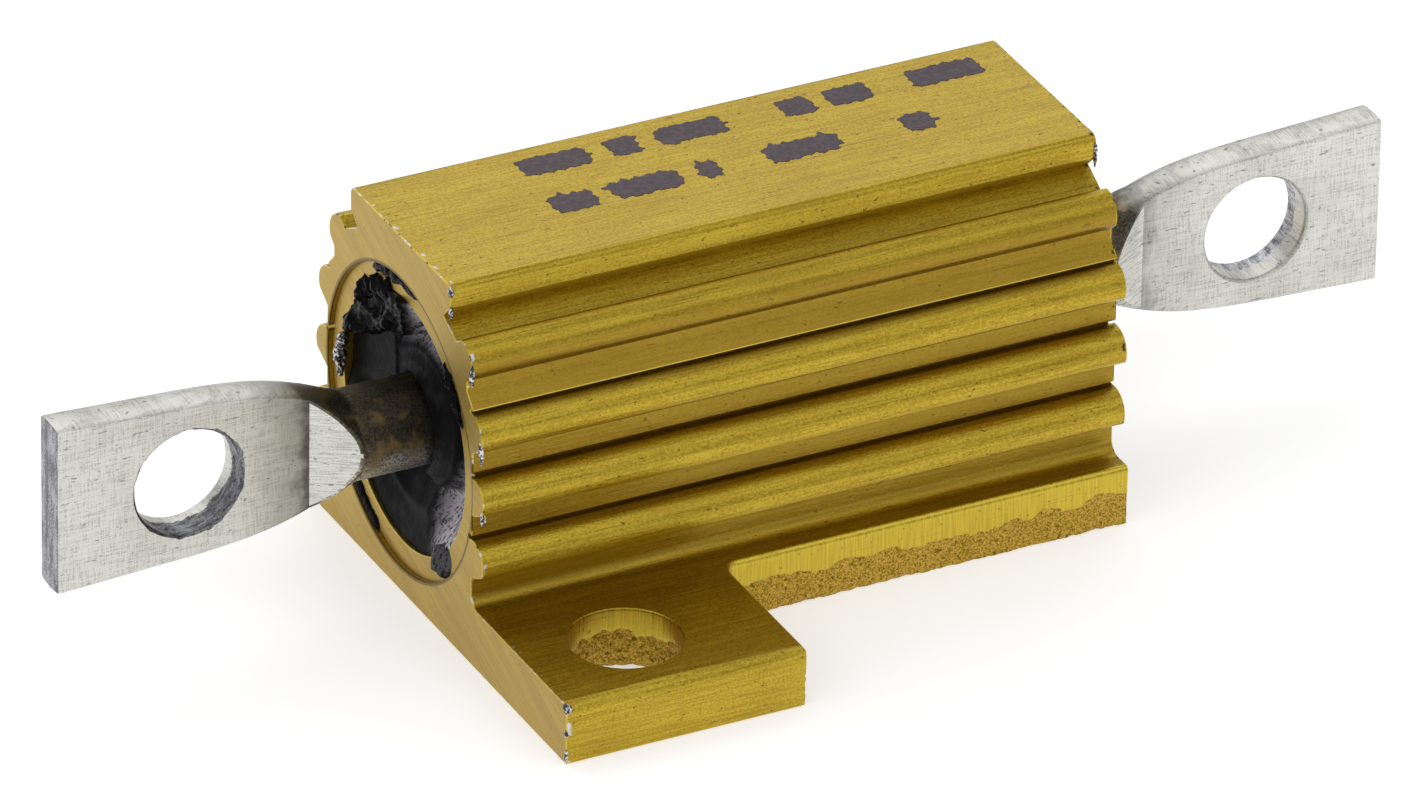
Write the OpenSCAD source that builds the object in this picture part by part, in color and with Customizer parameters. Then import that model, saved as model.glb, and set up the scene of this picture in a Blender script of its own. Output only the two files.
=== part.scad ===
// Chassis-mounting wirewound power resistor in a finned aluminium housing.
// Millimetres. The base face lies on z = 0, X runs along the terminals and the
// origin is the middle of the base. Left is the -X end, right is the +X end.

/* [Housing] */
// Length of the sawn-off extrusion
housing_l = 15.6; // [15:0.1:20]
// Height from the base face to the flat top
housing_h = 8.75; // [8.5:0.05:10]
// Width over the two mounting feet
base_w = 16.4; // [15.6:0.1:20]
// Thickness of the mounting flange
flange_t = 1.45; // [1.2:0.05:1.6]
// Length of each foot along the housing
foot_l = 5.75; // [5:0.05:7]
// Width of the strip of flange left where the feet are punched away
stub_w = 8.7; // [8.4:0.1:9.6]
// Radius in the inner corner of the punched-out notch
punch_r = 0.3; // [0.1:0.05:0.6]
// Radius on the long upper edges of the feet
foot_edge_r = 0.25; // [0.1:0.05:0.5]

/* [Fins] */
// Height of the lowest fin's upper face
first_fin_z = 3.1; // [2.9:0.05:3.3]
// Rise from each fin to the next
fin_pitch = 1.54; // [1.45:0.01:1.6]
// Depth of a fin from its upper face to its lower root
fin_h = 0.98; // [0.9:0.02:1.2]
// Radius of the upper part of a fin's nose
fin_nose_r = 0.5; // [0.3:0.02:0.54]
// Reach of the four fins from the middle plane, lowest first
fin_reach = [4.14, 4.14, 4.02, 3.5]; // [3.4:0.02:4.3]
// Half width of the body at the bottom of the grooves
groove_y = 3.58; // [3.45:0.02:3.7]
// Depth of the narrow slot at the foot of each groove, just above the next fin
slot_depth = 0.12; // [0.04:0.02:0.2]
// Height of that slot
slot_h = 0.08; // [0.04:0.01:0.12]
// Half width of the groove under the top fin
top_groove_y = 3.26; // [3.2:0.02:3.4]
// Radius where the lowest groove meets the flange
flange_fillet_r = 0.3; // [0.1:0.05:0.4]

/* [Top rail] */
// Width of the flat top
top_w = 4.9; // [4.4:0.1:5.3]
// Height of the vertical sides of the top rail
rail_h = 0.55; // [0.4:0.05:0.7]
// Depth of the undercut below the top rail
rail_undercut = 0.32; // [0.1:0.02:0.4]
// Radius on the long edges of the flat top
rail_edge_r = 0.18; // [0.05:0.01:0.3]

/* [Mounting holes] */
// Diameter of the two mounting holes
mount_hole_d = 2.5; // [2:0.1:3]
// Distance of a mounting hole's axis from its end of the housing
mount_inset_x = 2.4; // [2:0.05:3]
// Distance of a mounting hole's axis from the outer edge of its foot
mount_inset_y = 2; // [1.8:0.05:2.3]

/* [Bore] */
// Height of the bore's axis above the base
axis_z = 4.14; // [4:0.02:4.4]
// Diameter of the bore through the housing
bore_d = 6; // [5.6:0.1:6.2]
// Diameter of the shallow recess round each end of the bore
recess_d = 7.1; // [6.6:0.1:7.3]
// Depth of that recess
recess_t = 0.12; // [0.05:0.01:0.3]
// Radius of the moulding gate notched into the left rim of the bore
gate_r = 0.52; // [0.3:0.02:0.6]
// Depth of the moulding gate
gate_t = 0.9; // [0.6:0.1:1.5]
// Direction of the gate round the bore, from the -Y side towards the base
gate_angle = 52; // [30:1:80]

/* [Resistance element] */
// Diameter of the ceramic core
core_d = 3; // [2.6:0.1:3.2]
// Distance of the end caps' faces behind the ends of the housing
element_inset = 2.25; // [2:0.05:2.8]
// Wall of the pressed end caps
cap_t = 0.25; // [0.15:0.01:0.3]
// Length of the ceramic core held in each cap
cap_grip = 1.9; // [1.5:0.1:2.4]
// Gap all round between the core and the caps
cap_fit = 0.02; // [0.01:0.01:0.05]
// Diameter of the resistance wire
wire_d = 0.3; // [0.2:0.02:0.36]
// Pitch of the winding
wire_pitch = 0.6; // [0.5:0.02:0.9]
// Length of wire wound on to each cap, where it is welded
tail_l = 0.7; // [0.4:0.05:0.9]
// Gap between the faceted wire and the round parts beside it
wire_fit = 0.03; // [0.03:0.01:0.06]

/* [Terminals] */
// Length over both terminals
overall_l = 32.2; // [30:0.1:36]
// Diameter of the round stems
stem_d = 2.05; // [1.8:0.05:2.2]
// Width of the flattened blade at its end
blade_w = 4.1; // [3.8:0.1:4.6]
// Thickness of the flattened blade
blade_t = 0.88; // [0.6:0.02:1.1]
// Length of round stem that shows outside the housing
neck_l = 1.3; // [0.6:0.1:1.8]
// Length of the sloping shoulder between the blade and the stem
shoulder_l = 1.05; // [0.6:0.05:1.4]
// Diameter of the hole in each blade
lug_hole_d = 2.5; // [2:0.1:2.8]
// Distance of that hole from the end of the blade
lug_hole_inset = 3.1; // [2.6:0.1:3.4]

/* [Encapsulant] */
// Distance of the moulding's rim behind the end of the housing
rim_recess = 0.2; // [0.1:0.05:0.4]
// Distance of the collar's crest behind the end of the housing
collar_recess = 0.28; // [0.1:0.02:0.5]
// Diameter of the raised collar round the stem
collar_d = 3.4; // [2.9:0.1:3.8]
// Depth of the trough between the collar and the rim
trough_t = 0.8; // [0.3:0.05:1]

/* [Hidden] */
$fn = 96;
cut = 1;                 // how far a cutting shape runs past a face
arc_step = 12;           // degrees between the points of a drawn arc
nose_end = -25;          // where a fin's round nose ends in a crisp lower edge
rail_slope_y = 2.72;     // half width at the valley between the rail and the top fin
valley_drop = 0.16;      // depth of that valley below the top fin's upper face
groove_rise = 0.42;      // height over which the groove under the top fin narrows
bore_r = bore_d / 2;
stem_r = stem_d / 2;
core_r = core_d / 2;
wire_r = wire_d / 2;
cap_in_r = core_r + cap_fit;
cap_r = cap_in_r + cap_t;
cap_face_x = housing_l / 2 - element_inset;
core_l = 2 * (cap_face_x - cap_t);
cap_rim_x = core_l / 2 - cap_grip;
wind_half_l = cap_rim_x + tail_l;
climb_x = cap_rim_x - wire_r - wire_fit;    // the wire has climbed to the cap here
climb_l = wire_pitch / 3;                   // length over which it climbs
wire_core_r = core_r + wire_r + wire_fit;   // helix radius on the core
wire_cap_r = cap_r + wire_r + wire_fit;     // helix radius on the caps
segments = 20;                              // steps in one turn of wire
wire_sides = 6;

// Points of an arc about [cx, cy] from angle a to angle b, both ends included.
function arc_points(cx, cy, r, a, b) =
    let (n = max(1, round(abs(b - a) / arc_step)))
    [for (i = [0:n]) let (t = a + (b - a) * i / n) [cx + r * cos(t), cy + r * sin(t)]];

function fin_top(i) = first_fin_z + i * fin_pitch;

// A fin's outline from its lower root at half width y, round its nose, to its upper face.
function fin_points(i, y) =
    concat([[y, fin_top(i) - fin_h]],
           arc_points(fin_reach[i] - fin_nose_r, fin_top(i) - fin_nose_r,
                      fin_nose_r, nose_end, 90));

// Outline of the +Y half of the extrusion, as [y, z] from the base to the top.
function half_section() =
    let (top = len(fin_reach) - 1,
         rail_z = housing_h - rail_h,
         rail_y = top_w / 2,
         fillet_y = groove_y + flange_fillet_r,
         fillet_z = flange_t + flange_fillet_r,
         foot_y = base_w / 2 - foot_edge_r)
    concat(
        [[base_w / 2, 0]],
        arc_points(foot_y, flange_t - foot_edge_r, foot_edge_r, 0, 90),
        arc_points(fillet_y, fillet_z, flange_fillet_r, 270, 180),
        [for (i = [0:top - 1]) each concat(fin_points(i, groove_y),
            [[groove_y - slot_depth, fin_top(i)], [groove_y - slot_depth, fin_top(i) + slot_h],
             [groove_y, fin_top(i) + slot_h]])],
        [[top_groove_y, fin_top(top - 1) + groove_rise]],
        fin_points(top, top_groove_y),
        [[rail_slope_y, fin_top(top) - valley_drop],
         [rail_y - rail_undercut, rail_z - rail_undercut],
         [rail_y, rail_z]],
        arc_points(rail_y - rail_edge_r, housing_h - rail_edge_r, rail_edge_r, 0, 90));

// The whole cross-section: the half outline and its mirror image.
module housing_section() {
    half = half_section();
    last = len(half) - 1;
    polygon(concat(half, [for (i = [0:last]) [-half[last - i][0], half[last - i][1]]]));
}

// Lays a shape made round the Z axis along the bore's axis, +Z becoming +X.
module on_axis() {
    translate([0, 0, axis_z]) rotate([0, 90, 0]) children();
}

// Waste punched from one flange, which leaves a foot at the -X end of the -Y side.
module punched_waste() {
    left = foot_l - housing_l / 2;
    corner_y = -stub_w / 2;
    translate([0, 0, -cut])
        linear_extrude(flange_t + flange_fillet_r / 2 + cut)
            polygon(concat(
                arc_points(left + punch_r, corner_y - punch_r, punch_r, 180, 90),
                [[housing_l / 2 + cut, corner_y],
                 [housing_l / 2 + cut, -base_w / 2 - cut],
                 [left, -base_w / 2 - cut]]));
}

module mount_holes() {
    for (side = [-1, 1])
        translate([side * (housing_l / 2 - mount_inset_x), side * (base_w / 2 - mount_inset_y), -cut])
            cylinder(d = mount_hole_d, h = flange_t + 2 * cut);
}

// Cylinder of the moulding gate at the left end, from depth gate_t out to x.
module gate(x) {
    translate([0, -bore_r * cos(gate_angle), axis_z - bore_r * sin(gate_angle)])
        translate([gate_t - housing_l / 2, 0, 0])
            rotate([0, -90, 0])
                cylinder(r = gate_r, h = gate_t - housing_l / 2 - x);
}

// Extruded housing with its bore, end recesses, feet and mounting holes.
module housing() {
    color("#c8992e")
    difference() {
        rotate([90, 0, 90])
            translate([0, 0, -housing_l / 2])
                linear_extrude(housing_l) housing_section();
        for (turn = [0, 180])
            rotate([0, 0, turn]) punched_waste();
        mount_holes();
        on_axis() cylinder(d = bore_d, h = housing_l + 2 * cut, center = true);
        for (turn = [0, 180])
            rotate([0, 0, turn])
                translate([housing_l / 2 - recess_t, 0, 0])
                    on_axis() cylinder(d = recess_d, h = recess_t + cut);
        gate(-housing_l / 2 - cut);
    }
}

// Right half of the moulding's outline as [radius, x], from the rim to the stem.
function moulding_end() =
    let (collar_r = collar_d / 2, steps = 14)
    [for (i = [0:steps])
        let (u = i / steps)
        [bore_r + (collar_r - bore_r) * u,
         housing_l / 2 - rim_recess + (rim_recess - collar_recess) * u - trough_t * sin(180 * u)]];

// Space taken by the wound element inside the moulding, as [radius, x] for x > 0.
function element_space() =
    let (wound_r = wire_core_r + wire_r + wire_fit,
         tail_r = wire_cap_r + wire_r + wire_fit,
         tail_start = climb_x - climb_l - wire_r,
         tail_end = wind_half_l + wire_r + wire_fit)
    [[stem_r, cap_face_x], [cap_r, cap_face_x], [cap_r, tail_end], [tail_r, tail_end],
     [tail_r, tail_start], [wound_r, tail_start]];

// Mirrors a list of [radius, x] points to the other end, in reverse order.
function other_end(points) =
    [for (i = [len(points) - 1:-1:0]) [points[i][0], -points[i][1]]];

// Silicone moulding that holds the wound element in the bore.
module encapsulant() {
    right_end = concat(moulding_end(), [[stem_r, housing_l / 2 - collar_recess]]);
    color("#1b1a1d") {
        on_axis() rotate_extrude()
            polygon(concat(right_end, element_space(),
                           other_end(element_space()), other_end(right_end)));
        difference() {
            gate(rim_recess - housing_l / 2);
            on_axis() cylinder(r = bore_r - gate_r, h = housing_l + 2 * cut, center = true);
        }
    }
}

// Ceramic rod that carries the winding.
module ceramic_core() {
    color("#e6e2d6") on_axis() cylinder(d = core_d, h = core_l, center = true);
}

// Pressed metal cup on the right end of the core.
module end_cap() {
    color("#b9b7b0")
    on_axis() difference() {
        translate([0, 0, cap_rim_x]) cylinder(r = cap_r, h = cap_face_x - cap_rim_x);
        translate([0, 0, cap_rim_x - cut]) cylinder(r = cap_in_r, h = cap_grip + cut);
    }
}

module end_cap_right() end_cap();

module end_cap_left() mirror([1, 0, 0]) end_cap();

// Helix radius at x: on the core between the caps, stepped up on to them at each end.
function wire_path_r(x) =
    let (u = min(1, max(0, (abs(x) - climb_x + climb_l) / climb_l)))
    wire_core_r + (wire_cap_r - wire_core_r) * u * u * (3 - 2 * u);

// One ring of points round the wire, at angle a along the helix.
function wire_ring(a, x) =
    [for (k = [0:wire_sides - 1])
        let (b = 360 * k / wire_sides, r = wire_path_r(x) + wire_r * cos(b))
        [x + wire_r * sin(b), r * cos(a), axis_z + r * sin(a)]];

// Resistance wire wound in a helix, with its last turns on the caps.
module resistance_winding() {
    turns = 2 * wind_half_l / wire_pitch;
    rings = round(turns * segments);
    points = [for (i = [0:rings])
        each wire_ring(360 * turns * i / rings, wind_half_l * (2 * i / rings - 1))];
    sides = [for (i = [0:rings - 1], k = [0:wire_sides - 1])
        let (here = i * wire_sides, next = here + wire_sides, m = (k + 1) % wire_sides)
        each [[here + k, here + m, next + k], [here + m, next + m, next + k]]];
    first = [for (k = [wire_sides - 1:-1:0]) k];
    end = [for (k = [0:wire_sides - 1]) rings * wire_sides + k];
    color("#a06a4a") polyhedron(points, concat(sides, [first, end]), convexity = 10);
}

// Radius of the spread terminal, u running from 0 at the neck to 1 at the blade's end.
function spread_r(u) =
    stem_r + (blade_w / 2 - stem_r) * (0.3 * u + 0.7 * (1 - exp(-pow(u / 0.2, 1.4))));

// Right terminal: a round wire, spread and flattened between two dies into a blade,
// then pierced. The dies' sloping shoulders cut the round stem in an arc.
module terminal() {
    end_x = overall_l / 2;
    neck_x = housing_l / 2 + neck_l;
    steps = 24;
    // Half of the outline seen from above; the blade reaches past its own end for a clean cut.
    dies = [[end_x + cut, blade_t / 2], [neck_x + shoulder_l, blade_t / 2],
            [neck_x, stem_r + wire_fit], [0, stem_r + wire_fit]];
    color("#b4b3ae")
    difference() {
        intersection() {
            on_axis() rotate_extrude() polygon(concat(
                [[0, cap_face_x], [stem_r, cap_face_x]],
                [for (i = [0:steps])
                    [spread_r(i / steps), neck_x + (end_x - neck_x) * i / steps]],
                [[0, end_x]]));
            linear_extrude(axis_z + blade_w)
                polygon(concat(dies, [for (i = [3:-1:0]) [dies[i][0], -dies[i][1]]]));
        }
        translate([end_x - lug_hole_inset, 0, axis_z])
            rotate([90, 0, 0]) cylinder(d = lug_hole_d, h = blade_t + 2 * cut, center = true);
    }
}

module terminal_right() terminal();

module terminal_left() mirror([1, 0, 0]) terminal();

housing();
encapsulant();
ceramic_core();
resistance_winding();
end_cap_left();
end_cap_right();
terminal_left();
terminal_right();
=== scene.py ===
"""Chassis-mounting wirewound power resistor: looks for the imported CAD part.

The frame holds the solids. This add-on dresses them: the gold anodised
extrusion with its punched feet, the black silicone moulding, the coined and
tinned terminals, the wound element inside, the ink on the top and a plain
studio. Lengths are metres, and MM is one millimetre. X runs along the
terminals, the base lies on z = 0, and the terminals' end at -X is the left.
"""

import math

import bmesh
import bpy
import numpy as np
from mathutils import Matrix, Vector


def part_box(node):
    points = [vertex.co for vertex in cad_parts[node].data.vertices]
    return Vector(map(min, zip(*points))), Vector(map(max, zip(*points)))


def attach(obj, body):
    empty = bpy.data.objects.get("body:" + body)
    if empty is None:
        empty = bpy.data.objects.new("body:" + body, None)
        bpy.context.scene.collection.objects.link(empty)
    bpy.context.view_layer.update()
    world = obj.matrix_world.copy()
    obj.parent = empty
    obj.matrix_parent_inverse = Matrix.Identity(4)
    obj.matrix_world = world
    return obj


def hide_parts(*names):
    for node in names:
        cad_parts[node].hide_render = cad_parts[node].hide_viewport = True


bl_info = {
    "name": "Aluminium-housed resistor",
    "version": (1, 0, 0),
    "blender": (4, 5, 0),
    "location": "View3D > Sidebar > Resistor",
    "description": "Dresses a finned, chassis-mounting power resistor",
    "category": "Add Mesh",
}

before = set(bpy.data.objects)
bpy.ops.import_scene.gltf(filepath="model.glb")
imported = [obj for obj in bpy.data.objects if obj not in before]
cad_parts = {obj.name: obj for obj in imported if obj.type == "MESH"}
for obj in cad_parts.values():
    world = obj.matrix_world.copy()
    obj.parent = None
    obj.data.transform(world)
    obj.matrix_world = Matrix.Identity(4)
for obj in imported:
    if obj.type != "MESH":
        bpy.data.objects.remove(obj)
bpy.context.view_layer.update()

MM = 0.001
HOUSING_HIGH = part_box("housing")[1]
BLADE_LOW, BLADE_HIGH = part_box("terminal_left")
END_X = HOUSING_HIGH.x  # the sawn ends stand at -END_X and END_X
BASE_Y = HOUSING_HIGH.y
TOP_Z = HOUSING_HIGH.z
TIP_X = -BLADE_LOW.x
AXIS_Z = (BLADE_LOW.z + BLADE_HIGH.z) / 2
STEM_R = BLADE_HIGH.y
FLANGE_T = 1.45 * MM
FOOT_X = 5.75 * MM - END_X  # the left foot's punched side
STUB_Y = 4.35 * MM
CORNER_R = 0.3 * MM
MOUNT_HOLE = Vector((2.4 * MM - END_X, 2 * MM - BASE_Y, 0))
HOLE_R = 1.25 * MM
BORE_R = 3 * MM
RECESS_R = 3.55 * MM
RECESS_T = 0.12 * MM
BLADE_T = 0.88 * MM
LUG_X = TIP_X - 3.1 * MM
NECK_X = END_X + 1.3 * MM
SHOULDER_X = NECK_X + 1.05 * MM
GROOVE_Y = 3.58 * MM  # half width of the body at the floors of the grooves
TOP_FIN_Y, TOP_FIN_Z = 3.26 * MM, 6.74 * MM  # the top fin's lower corner at the groove
VALLEY_Z = 7.7 * MM  # height of the valley above the top fin
CORE_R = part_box("ceramic_core")[1].y
CAP_LOW, CAP_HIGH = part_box("end_cap_right")
WINDING_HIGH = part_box("resistance_winding")[1]
WIRE_T = 0.3 * MM
WIRE_FIT = 0.03 * MM
CLIMB = 0.53 * MM  # length beside a cap over which the wire climbs on to it
SKIN = 0.004 * MM  # how far a cutter or the ink goes in, so that no two faces coincide
BELOW, ABOVE = -0.1 * MM, 0.08 * MM  # where a cutter starts and ends past the metal's faces


# ---------------------------------------------------------------- sizes and colours


def hex_color(name, description, value):
    """A colour property whose default is an sRGB hex value."""
    return bpy.props.FloatVectorProperty(
        name=name, description=description, subtype="COLOR", size=4,
        min=0, max=1, default=srgb(value))


def length(name, description, value, low=0.0):
    """A length property, given in metres."""
    return bpy.props.FloatProperty(
        name=name, description=description, default=value, min=low,
        precision=6, subtype="DISTANCE", unit="LENGTH")


def angle(name, description, degrees):
    """An angle property, given in degrees."""
    return bpy.props.FloatProperty(
        name=name, description=description, default=math.radians(degrees),
        subtype="ANGLE", unit="ROTATION")


def srgb(value):
    """Linear RGBA of an sRGB hex value: c/12.92 below 0.04045, else ((c+0.055)/1.055)^2.4."""
    parts = [int(value[i:i + 2], 16) / 255 for i in (1, 3, 5)]
    linear = [c / 12.92 if c <= 0.04045 else ((c + 0.055) / 1.055) ** 2.4 for c in parts]
    return (*linear, 1.0)


class HousingLooks(bpy.types.PropertyGroup):
    """Finish of the extruded housing."""

    edge: length("Edge rounding", "Rounding of the housing's crisp edges", 0.03 * MM)
    ease: length("Ease", "How far the top fin's lower corner is eased up", 0.1 * MM)
    roll_over: length("Roll-over", "Depth of the rim rolled by the punch", 0.13 * MM)
    burnish: length("Burnish", "Height of the smooth band the punch left", 0.52 * MM)
    tear: length("Tear", "Depth of the torn band below it", 0.045 * MM)
    line_pitch: length("Die lines", "Spacing of the extrusion's drawn lines", 0.055 * MM)
    saw_pitch: length("Saw lines", "Spacing of the saw's lines on the ends", 0.05 * MM)
    light: hex_color("Anodised light", "Gold of the anodised faces", "#c8ae34")
    deep: hex_color("Anodised deep", "Gold in the drawn lines", "#a88a1d")
    # Painted shade: this brown darkens the grooves between the fins and a thin ring along the
    # recess round the bore.
    shade_brown: hex_color("Groove floors", "Browner gold between the fins", "#886812")
    sawn: hex_color("Sawn ends", "Paler gold of the sawn ends", "#bda04c")
    tan: hex_color("Torn tan", "Tan of the torn metal", "#cdaa4e")
    # Partly a painted highlight: this pale gold lines the crisp edges.
    rim: hex_color("Worn rims", "Pale gold of the worn rims", "#cbb256")
    bare: hex_color("Bare metal", "Aluminium where the finish is knocked off", "#cfcfd2")


class MouldingLooks(bpy.types.PropertyGroup):
    """Shape and finish of the silicone moulding."""

    rim_recess: length("Rim recess", "Depth of the moulding's rim", 0.2 * MM)
    collar_recess: length("Collar recess", "Depth of the collar round the stem", 0.28 * MM)
    collar_r: length("Collar radius", "Radius of the plain collar at the right end", 1.7 * MM)
    trough: length("Trough", "Depth between the collar and the rim", 0.8 * MM)
    flash: length("Flash", "Roughness of the torn flash", 0.12 * MM)
    color: hex_color("Silicone", "Black of the moulding", "#0e0e10")
    gloss: hex_color("Torn silicone", "Black of the torn, shiny flash", "#050506")
    # Painted sheen: this grey is laid in streaks on the slopes and on the gate's plug, for
    # their highlight.
    bloom: hex_color("Bloom", "Grey bloom rubbed on to the moulding's slopes", "#dcd6de")


class TerminalLooks(bpy.types.PropertyGroup):
    """Finish of the two terminals."""

    edge: length("Edge rounding", "Rounding of the coined edges", 0.07 * MM)
    hole_tear: length("Hole tear", "Roughness of the pierced holes", 0.04 * MM)
    scratch_pitch: length("Scratch pitch", "Spacing of the tools' scratches", 0.03 * MM)
    tin: hex_color("Tin", "Grey-white of the tinned faces", "#dcdcd5")
    dull: hex_color("Dull tin", "Greyer streaks of the tin", "#bfbeb6")
    stain: hex_color("Stain", "Brown-black left by heat on the stem", "#4a463b")
    straw: hex_color("Straw", "Straw colour at the edge of the heat stain", "#b39d6a")
    cut: hex_color("Cut metal", "Grey of the sheared end and the pierced hole", "#85858a")


class InkLooks(bpy.types.PropertyGroup):
    """Plain ink marks on the flat top."""

    color: hex_color("Ink", "Purple-grey marking ink", "#4b4045")
    stroke: length("Mark height", "Height of a mark across the top", 0.8 * MM)
    row: length("Row spacing", "Distance between the two rows", 1.7 * MM)
    shift: length("Row offset", "Distance of the rows' middle behind the axis", 0.65 * MM)
    corner: length("Corner", "Radius of a mark's corners", 0.25 * MM)
    film: length("Film", "Thickness of the dried ink", 0.006 * MM)


class StudioLooks(bpy.types.PropertyGroup):
    """Floor, lights and camera."""

    azimuth: angle("Azimuth", "Direction the camera looks from", -27.35)
    elevation: angle("Elevation", "Height of the camera above the horizon", 29.92)
    roll: angle("Roll", "Turn of the camera about its own axis", 1.03)
    distance: length("Distance", "Distance from the camera to the part", 348.1 * MM)
    right: length("Frame right", "How far the part sits right of the frame's middle",
                  0.249 * MM, low=-1.0)
    above: length("Frame above", "How far the part sits above the frame's middle",
                  1.043 * MM, low=-1.0)
    lens: bpy.props.FloatProperty(
        name="Lens", description="Focal length of the camera", default=405.6,
        min=1, subtype="DISTANCE_CAMERA")
    floor: hex_color("Floor", "Plain pale floor", "#f4f4f4")
    glow: bpy.props.FloatProperty(
        name="Floor glow", description="Light the floor adds for the camera and in gloss",
        default=0.42, min=0)
    key: bpy.props.FloatProperty(
        name="Key light", description="Radiance of the large soft light", default=0.78, min=0)
    sky: bpy.props.FloatProperty(
        name="Room light", description="Strength of the even light all round", default=0.55,
        min=0)


class ResistorLooks(bpy.types.PropertyGroup):
    """All the sizes and colours of the resistor."""

    housing: bpy.props.PointerProperty(type=HousingLooks)
    moulding: bpy.props.PointerProperty(type=MouldingLooks)
    terminal: bpy.props.PointerProperty(type=TerminalLooks)
    ink: bpy.props.PointerProperty(type=InkLooks)
    studio: bpy.props.PointerProperty(type=StudioLooks)


# ---------------------------------------------------------------- mesh helpers


def lattice_noise(u, v, seed):
    """Smooth noise from -1 to 1 at (u, v), one cell per unit: random values on a
    square lattice, blended across each cell with the weights 3t^2 - 2t^3."""
    table = np.random.default_rng(seed).uniform(-1, 1, (256, 256))
    iu, iv = np.floor(u).astype(int), np.floor(v).astype(int)
    fu, fv = u - iu, v - iv
    su, sv = fu * fu * (3 - 2 * fu), fv * fv * (3 - 2 * fv)
    a, b = iu % 256, iv % 256
    c, d = (iu + 1) % 256, (iv + 1) % 256
    low = table[a, b] * (1 - su) + table[c, b] * su
    high = table[a, d] * (1 - su) + table[c, d] * su
    return low * (1 - sv) + high * sv


def rough_noise(u, v, octaves, seed):
    """Sum of lattice noises, each twice as fine and 0.55 times as high as the last."""
    total = np.zeros(np.broadcast(u, v).shape)
    for k in range(octaves):
        total = total + 0.55 ** k * lattice_noise(u * 2 ** k, v * 2 ** k, seed + k)
    return total


def step(low, high, x):
    """Smooth step: 0 below low, 1 above high, 3t^2 - 2t^3 between them."""
    t = np.clip((x - low) / (high - low), 0, 1)
    return t * t * (3 - 2 * t)


def mesh_object(name, points, faces, smooth=True):
    """An object at the origin from an (n, 3) array of points and a list of faces."""
    mesh = bpy.data.meshes.new(name)
    mesh.from_pydata(points.reshape(-1, 3).tolist(), [], faces)
    mesh.polygons.foreach_set("use_smooth", np.full(len(mesh.polygons), smooth))
    mesh.update()
    obj = bpy.data.objects.new(name, mesh)
    bpy.context.scene.collection.objects.link(obj)
    return obj


def grid_faces(rows, columns, close_rows=False, close_columns=False):
    """Quads of a grid of points numbered row * columns + column, wrapped where asked."""
    i = np.arange(rows if close_rows else rows - 1)[:, None]
    j = np.arange(columns if close_columns else columns - 1)[None, :]
    i2, j2 = (i + 1) % rows, (j + 1) % columns
    quads = np.stack(
        [i * columns + j, i * columns + j2, i2 * columns + j2, i2 * columns + j], -1)
    return quads.reshape(-1, 4).tolist()


def outward(obj, merge=False):
    """Turns every face outwards, after its doubles are merged if merge is true."""
    bm = bmesh.new()
    bm.from_mesh(obj.data)
    if merge:
        bmesh.ops.remove_doubles(bm, verts=bm.verts, dist=1e-8)
    bmesh.ops.recalc_face_normals(bm, faces=bm.faces)
    bm.to_mesh(obj.data)
    bm.free()


def cad_copy(node, name, edge, sharp_degrees=30, rim=-1, ease=None):
    """A merged copy of a CAD node whose convex edges sharper than sharp_degrees
    are rounded over by the given radius and take the material numbered rim.
    ease, if given, moves the merged copy's points before they are rounded."""
    bm = bmesh.new()
    bm.from_mesh(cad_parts[node].data)
    bmesh.ops.remove_doubles(bm, verts=bm.verts, dist=1e-7)
    bmesh.ops.dissolve_limit(
        bm, angle_limit=math.radians(1), verts=bm.verts, edges=bm.edges)
    if ease:
        ease(bm)
    crisp = [e for e in bm.edges if len(e.link_faces) == 2 and e.is_convex
             and e.calc_face_angle() > math.radians(sharp_degrees)]
    bmesh.ops.bevel(bm, geom=crisp, offset=edge, segments=2, profile=0.6,
                    affect="EDGES", clamp_overlap=False, material=rim)
    mesh = bpy.data.meshes.new(name)
    bm.to_mesh(mesh)
    bm.free()
    obj = bpy.data.objects.new(name, mesh)
    bpy.context.scene.collection.objects.link(obj)
    return obj


def face_rows(mesh):
    """Normals and centres of a mesh's faces, as two (n, 3) arrays."""
    count = len(mesh.polygons)
    normal, centre = np.zeros(count * 3), np.zeros(count * 3)
    mesh.polygons.foreach_get("normal", normal)
    mesh.polygons.foreach_get("center", centre)
    return normal.reshape(-1, 3), centre.reshape(-1, 3)


def dress(obj, *materials):
    """Gives an object's mesh its materials, in order."""
    for material in materials:
        obj.data.materials.append(material)


def bake_modifiers(obj):
    """Puts the result of an object's modifiers into its mesh."""
    evaluated = obj.evaluated_get(bpy.context.evaluated_depsgraph_get())
    mesh = bpy.data.meshes.new_from_object(evaluated)
    obj.modifiers.clear()
    obj.data = mesh


def shave(obj, cutters):
    """Subtracts closed cutters, whose faces leave their own materials on the cut."""
    for cutter in cutters:
        for material in cutter.data.materials:
            if material.name not in obj.data.materials:
                obj.data.materials.append(material)
        cut = obj.modifiers.new("shave", "BOOLEAN")
        cut.operation = "DIFFERENCE"
        cut.solver = "EXACT"
        cut.material_mode = "TRANSFER"
        cut.object = cutter
        bake_modifiers(obj)
        bpy.data.objects.remove(cutter)


def smooth_by_angle(obj, degrees):
    """Smooth shading broken at edges sharper than degrees, weighted by face area."""
    mesh = obj.data
    mesh.polygons.foreach_set("use_smooth", np.ones(len(mesh.polygons), bool))
    bm = bmesh.new()
    bm.from_mesh(mesh)
    for e in bm.edges:
        e.smooth = len(e.link_faces) == 2 and e.calc_face_angle() < math.radians(degrees)
    bm.to_mesh(mesh)
    bm.free()
    weighted = obj.modifiers.new("weighted", "WEIGHTED_NORMAL")
    weighted.keep_sharp = True


def seat(obj, slot, *replaced):
    """Rides the piece on the part's one body and hides the CAD parts that it replaces; slot is
    not used.
    """
    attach(obj, "root")
    if replaced:
        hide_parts(*replaced)


# ---------------------------------------------------------------- materials


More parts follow.
